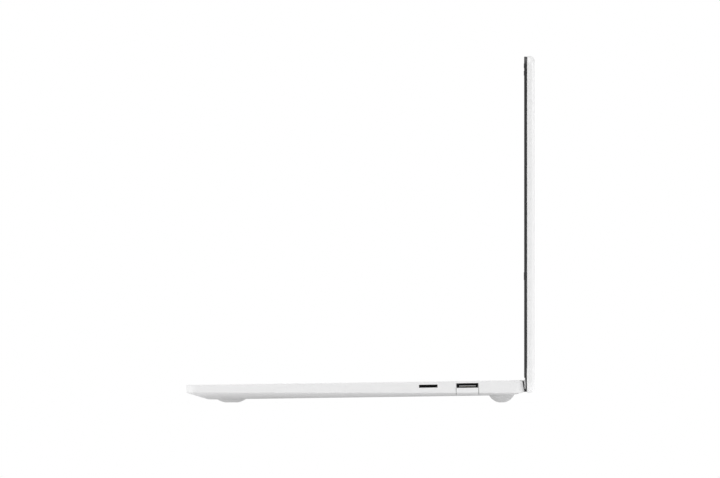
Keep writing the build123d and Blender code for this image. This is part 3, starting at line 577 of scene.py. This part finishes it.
# feet: domes of soft rubber, cut level by the table
feet = {
    "x": 132.0, "underside": -9.3, "frontHeight": 11.0, "sink": 0.15, "sides": 48, "rings": 15,
    "firstRing": 0.02, "ringPower": 1.6,
    "front": {"y": 26.4, "sphere": 12.9}, "rear": {"y": 198.1, "sphere": 8.7},
}


def domeParts(x, y, sphere):
    # rings of a sphere, closer together near its lowest point; h over that point, the radius is the root of
    # 2 r h less h squared
    depth = feet["frontHeight"] + y * sin(tilt) + feet["underside"] + feet["sink"]
    h = depth * np.linspace(feet["firstRing"], 1, feet["rings"]) ** feet["ringPower"]
    profile = np.column_stack([np.sqrt(2 * sphere * h - h**2), feet["underside"] - depth + h])
    return latheParts(profile, (x, y), feet["sides"])


for name, node in (("front", "front_feet"), ("rear", "rear_feet")):
    foot = feet[name]
    points, faces = joinParts([domeParts(side * feet["x"], foot["y"], foot["sphere"]) for side in (-1, 1)])
    points = fromCase(points)
    points[:, 2] = np.maximum(points[:, 2], 0)
    pads = addMesh(name + "FootPads", points, faces, "base", materials["footRubber"])
    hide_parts(node)
print("feet turned")


def uprightOutline(sizeX, z0, z1, radius, perCorner):
    # a rounded rectangle standing in the lid's plane: returns x and z
    return roundedOutline(sizeX, z1 - z0, radius, perCorner) + (0, (z0 + z1) / 2)


def uprightRing(outline, depth):
    # an outline's x and z with one depth for all points, or one for each
    return np.column_stack([outline[:, 0], np.broadcast_to(depth, len(outline)), outline[:, 1]])


# the lid's outer shell: a tray with a fine bright chamfer in front and full rounded edges behind
lidShell = {
    "width": 311.6, "z0": -4.2, "z1": 207.6, "front": 5.9, "back": 10.75, "corner": 8.0, "chamfer": 0.55,
    "round": 3.0, "roundRings": 13, "flatRing": 1.5, "cornerLoss": 0.7, "wall": 1.3, "floor": 9.75, "trayLow": 6.0,
    "trayEdge": 0.5, "perCorner": 14,
}


def makeLidShell():
    # inside: a tray with a small chamfer round its floor; outside: a chamfer, a straight side, a quarter circle and
    # a flat back
    s = lidShell
    rings = []
    for inset, depth in ((s["trayEdge"], s["floor"]), (0.0, s["floor"] - s["trayEdge"]), (0.0, s["front"])):
        wall = s["wall"] + inset
        low, high = s["trayLow"] + inset, s["z1"] - wall
        inner = uprightOutline(s["width"] - 2 * wall, low, high, s["corner"] - s["wall"], s["perCorner"])
        rings.append(uprightRing(inner, depth))
    a = np.linspace(0, pi / 2, s["roundRings"])
    rounded = s["back"] - s["round"] + s["round"] * np.sin(a)
    insets = np.concatenate([[s["chamfer"], 0.0], s["round"] * (1 - np.cos(a)), [s["round"] + s["flatRing"]]])
    depths = np.concatenate([[s["front"], s["front"] + s["chamfer"]], rounded, [s["back"]]])
    for inset, depth in zip(insets, depths):
        low, high, corner = s["z0"] + inset, s["z1"] - inset, s["corner"] - s["cornerLoss"] * inset
        rings.append(uprightRing(uprightOutline(s["width"] - 2 * inset, low, high, corner, s["perCorner"]), depth))
    return skinRings(np.array(rings))


points, faces = makeLidShell()
shell = addMesh("lidShell", fromLid(points), faces, "lid", materials["lidGloss"])
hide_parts("lid_shell")

# the black frame round the glass; its lower edge is rounded more than the others
screenFrame = {
    "width": 311.0, "z0": 4.9, "z1": 207.3, "front": 4.15, "back": 5.9, "corner": 7.7, "rim": 1.25, "step": 4.95,
    "flange": 3.4, "lip": 0.05, "roundSide": 0.35, "roundLow": 1.7, "roundDeep": 1.25, "roundRings": 7,
    "perCorner": 12,
}


def makeScreenFrame():
    # one closed section carried round the outline; its front edge is a quarter ellipse, largest at the bottom
    s = screenFrame
    base = uprightOutline(s["width"], s["z0"], s["z1"], s["corner"], s["perCorner"])
    angle = np.concatenate([np.linspace(0, pi / 2, s["perCorner"]) + k * pi / 2 for k in range(4)])
    inward = -np.stack([np.cos(angle), np.sin(angle)], -1)
    low = np.clip(inward[:, 1], 0, 1) ** 2
    tall = s["roundSide"] + (s["roundLow"] - s["roundSide"]) * low
    deep = s["roundSide"] + (s["roundDeep"] - s["roundSide"]) * low
    rings = []

    def ring(inset, depth):
        outline = base + inward * np.reshape(inset, (-1, 1))
        rings.append(uprightRing(outline, depth))

    ring(s["flange"], s["back"])
    ring(s["flange"], s["step"])
    ring(s["rim"], s["step"])
    ring(s["rim"], s["front"] + s["lip"])
    for t in np.linspace(pi / 2, 0, s["roundRings"]):
        ring(tall * (1 - np.cos(t)), s["front"] + deep * (1 - np.sin(t)))
    ring(0.0, s["back"])
    return skinRings(np.array(rings), closeLoop=True)


points, faces = makeScreenFrame()
frameRing = addMesh("screenFrame", fromLid(points), faces, "lid", materials["bezelPlastic"])
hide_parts("bezel_frame")

# strips between the deck and the screen: the trim in front, painted lighter than the lid to offset the shade of its
# recess, the black skirt behind it; sections are (y, z)
strips = {
    "trimStrip": {
        "half": 146.4, "slot": "lid_plastic", "finish": "trimGlossBrightened",
        "section": [
            (3.98, 3.95), (4.35, 4.2), (4.7, 4.2), (4.8, 3.9), (5.0, 3.0), (5.22, 1.6), (5.2, 0.2), (4.95, -1.7),
            (4.55, -1.7), (4.32, -0.6), (4.24, 0.5), (4.05, 2.0),
        ],
    },
    "screenSkirt": {
        "half": 146.7, "slot": "bezel_plastic", "finish": "bezelPlastic",
        "section": [
            (4.78, 5.3), (5.88, 5.3), (5.88, -1.5), (5.5, -1.6), (5.28, 0.2), (5.3, 1.6), (5.08, 3.0), (4.88, 4.1),
        ],
    },
}
for name, s in strips.items():
    section = np.array(s["section"])
    rings = np.array([np.column_stack([np.full(len(section), x), section]) for x in (-s["half"], s["half"])])
    points, faces = skinRings(rings)
    strip = addMesh(name, fromLid(points), faces, "lid", materials[s["finish"]], False)
    if name == "trimStrip":
        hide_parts("hinge_trim")
print("lid shell, frame and strips built")

# camera on the glass's top edge: a ring, a lens, a light and two microphone holes, each a turned disc
cameraLine = {"z": 203.6, "face": 4.35, "sides": 28}
cameraParts = {
    "cameraRing": {
        "at": [0], "profile": [(1.75, 0.0), (1.75, 0.03), (1.25, 0.045), (1.2, 0.0)],
        "finish": "blackPlastic", "slot": "bezel_plastic",
    },
    "cameraLens": {
        "at": [0], "profile": [(1.15, 0.0), (1.1, 0.02), (0.75, 0.05), (0.3, 0.065)],
        "finish": "lensGlass", "slot": "screen_glass",
    },
    "cameraLight": {
        "at": [6.5], "profile": [(0.42, 0.0), (0.4, 0.02), (0.2, 0.03)],
        "finish": "clearDot", "slot": "screen_glass",
    },
    "microphoneHoles": {
        "at": [-28, 28], "profile": [(0.5, 0.0), (0.5, 0.02), (0.2, 0.024)],
        "finish": "bumperRubber", "slot": "bezel_plastic",
    },
}
for name, s in cameraParts.items():
    points, faces = joinParts([latheParts(s["profile"], (x, 0), cameraLine["sides"]) for x in s["at"]])
    placed = np.column_stack([points[:, 0], cameraLine["face"] - points[:, 2], cameraLine["z"] + points[:, 1]])
    addMesh(name, fromLid(placed), faces, "lid", materials[s["finish"]])
print("camera built")


def boxParts(x, y, z):
    # a box by its lowest and highest value along each axis
    (x0, x1), (y0, y1) = x, y
    return stackOutlines([np.array([[x0, y0], [x1, y0], [x1, y1], [x0, y1]])] * 2, z)


# the full-size socket's tongue is light, on a black root that closes the sleeve's inner end
socketTongue = {"x": (142.2, 153.2), "y": (171.5, 182.1), "z": (-3.36, -2.94)}
socketRoot = {"x": (142.2, 143.7), "y": (170.6, 183.0), "z": (-6.35, -1.6)}
points, faces = boxParts(**socketTongue)
tongue = addMesh("socketTongue", fromCase(points), faces, "base", materials["tonguePlastic"], False)
points, faces = boxParts(**socketRoot)
addMesh("socketRoot", fromCase(points), faces, "base", materials["blackPlastic"], False)
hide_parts("usb_a_tongue")

# plated contacts on the socket tongues
wideContacts = {
    "x": (143.0, 152.6), "y": 176.8, "z": (-3.40, -3.35), "offsets": (-3.5, -1.0, 1.0, 3.5), "half": 0.42,
}
smallContacts = {
    "x": (-153.6, -150.4), "places": (161.5, 177.0), "faces": (-3.655, -4.375), "thick": 0.03,
    "count": 12, "pitch": 0.5, "half": 0.13,
}
s = wideContacts
places = [s["y"] + offset for offset in s["offsets"]]
points, faces = joinParts([boxParts(s["x"], (y - s["half"], y + s["half"]), s["z"]) for y in places])
addMesh("wideContacts", fromCase(points), faces, "base", materials["goldContact"], False)
s = smallContacts
spread = (np.arange(s["count"]) - (s["count"] - 1) / 2) * s["pitch"]
points, faces = joinParts([
    boxParts(s["x"], (y - s["half"], y + s["half"]), (z, z + s["thick"]))
    for place in s["places"] for y in place + spread for z in s["faces"]
])
addMesh("smallContacts", fromCase(points), faces, "base", materials["goldContact"], False)
print("contacts placed")

# a dark dust screen lies on the inside of the intake slots
dustScreen = {"x": (-2.0, 102.0), "y": (126.5, 162.5), "z": (-8.28, -8.12)}
points, faces = boxParts(**dustScreen)
addMesh("dustScreen", fromCase(points), faces, "base", materials["dustMesh"], False)

# camera: the eye is at floor level and in line with the screen's face, so that the near side hides the far one
cameraSettings = {
    "distance": 13.0, "frameWidth": 0.4525, "eyeHeight": 0.0001, "aimHeight": 0.1027, "aimAlong": -0.0002,
    "sensor": 36.0, "clip": (1.0, 100.0),
}
camera = bpy.data.cameras.new("sideCamera")
camera.sensor_width = cameraSettings["sensor"]
camera.lens = camera.sensor_width * cameraSettings["distance"] / cameraSettings["frameWidth"]
camera.clip_start, camera.clip_end = cameraSettings["clip"]
cameraObject = bpy.data.objects.new("sideCamera", camera)
cameraAim = Vector((caseFrame["width"] / 2 * mm, cameraSettings["aimAlong"], cameraSettings["aimHeight"]))
screenFace = float(lidAxis[1]) + screenFrame["front"] * mm
cameraObject.location = (cameraAim.x + cameraSettings["distance"], screenFace, cameraSettings["eyeHeight"])
cameraObject.rotation_euler = (cameraAim - cameraObject.location).to_track_quat("-Z", "Y").to_euler()
bpy.context.scene.collection.objects.link(cameraObject)
bpy.context.scene.camera = cameraObject

# the floor is a lit table: it sends soft light up at the part, but looks like a pale top that fades to white
floorSettings = {
    "half": 3.0, "color": (0.86, 0.86, 0.865), "rough": 0.85, "specular": 0.1, "glow": 0.36,
    "fadeFrom": 0.6, "fadeTo": 2.9, "fadeLight": 0.62,
}
reach = floorSettings["half"]
floorMesh = bpy.data.meshes.new("floor")
floorCorners = [(-reach, -reach, 0), (reach, -reach, 0), (reach, reach, 0), (-reach, reach, 0)]
floorMesh.from_pydata(floorCorners, [], [(0, 1, 2, 3)])
floorObject = bpy.data.objects.new("floor", floorMesh)
floorMaterial = bpy.data.materials.new("floorPale")
floorMaterial.use_nodes = True
floorShader = floorMaterial.node_tree.nodes["Principled BSDF"]
floorShader.inputs["Base Color"].default_value = (*floorSettings["color"], 1)
floorShader.inputs["Roughness"].default_value = floorSettings["rough"]
floorShader.inputs["Specular IOR Level"].default_value = floorSettings["specular"]
floorShader.inputs["Emission Color"].default_value = (1.0, 1.0, 1.0, 1)
floorTree = floorMaterial.node_tree
farOut = floorTree.nodes.new("ShaderNodeVectorMath")
farOut.operation = "LENGTH"
floorTree.links.new(floorTree.nodes.new("ShaderNodeTexCoord").outputs["Object"], farOut.inputs[0])
fade = floorTree.nodes.new("ShaderNodeMapRange")
fade.interpolation_type = "SMOOTHSTEP"
for label, key in (("From Min", "fadeFrom"), ("From Max", "fadeTo"), ("To Max", "fadeLight")):
    fade.inputs[label].default_value = floorSettings[key]
floorTree.links.new(farOut.outputs["Value"], fade.inputs["Value"])
directly = floorTree.nodes.new("ShaderNodeLightPath").outputs["Is Camera Ray"]
seenLight = mathNode(floorTree, "MULTIPLY", directly, fade.outputs["Result"])
sentLight = mathNode(floorTree, "MULTIPLY", mathNode(floorTree, "SUBTRACT", 1.0, directly), floorSettings["glow"])
floorTree.links.new(mathNode(floorTree, "ADD", seenLight, sentLight), floorShader.inputs["Emission Strength"])
floorMesh.materials.append(floorMaterial)
bpy.context.scene.collection.objects.link(floorObject)

# a white backdrop all round; the light that it sends is dimmer than it looks, so that faces keep some shading
studio = {"backdrop": 1.0, "ambient": 0.52}
world = bpy.data.worlds.new("studio")
bpy.context.scene.world = world
world.use_nodes = True
worldNodes, worldLinks = world.node_tree.nodes, world.node_tree.links
background = worldNodes["Background"]
background.inputs["Color"].default_value = (1.0, 1.0, 1.0, 1)
seen = worldNodes.new("ShaderNodeLightPath")
strength = worldNodes.new("ShaderNodeMapRange")
strength.inputs["To Min"].default_value = studio["ambient"]
strength.inputs["To Max"].default_value = studio["backdrop"]
worldLinks.new(seen.outputs["Is Camera Ray"], strength.inputs["Value"])
worldLinks.new(strength.outputs["Result"], background.inputs["Strength"])

lights = {
    "topSoft": {"place": (0.2, -0.2, 2.2), "aim": (0, 0, 0.05), "size": 2.0, "power": 23.0},
    "sideSoft": {"place": (2.4, 0.0, 1.1), "aim": (0, 0, 0.1), "size": 2.2, "power": 1.5},
    "frontSoft": {"place": (0.5, -2.3, 0.8), "aim": (0, 0, 0.08), "size": 1.6, "power": 14.5},
    "backSoft": {"place": (0.6, 2.3, 1.0), "aim": (0, 0.1, 0.1), "size": 1.6, "power": 17.0},
}
for name, s in lights.items():
    lamp = bpy.data.lights.new(name, "AREA")
    lamp.shape = "SQUARE"
    lamp.size = s["size"]
    lamp.energy = s["power"]
    lampObject = bpy.data.objects.new(name, lamp)
    lampObject.location = s["place"]
    lampObject.rotation_euler = (Vector(s["aim"]) - Vector(s["place"])).to_track_quat("-Z", "Y").to_euler()
    bpy.context.scene.collection.objects.link(lampObject)

bpy.context.scene.view_settings.view_transform = "Standard"
print("camera, floor and lights set")
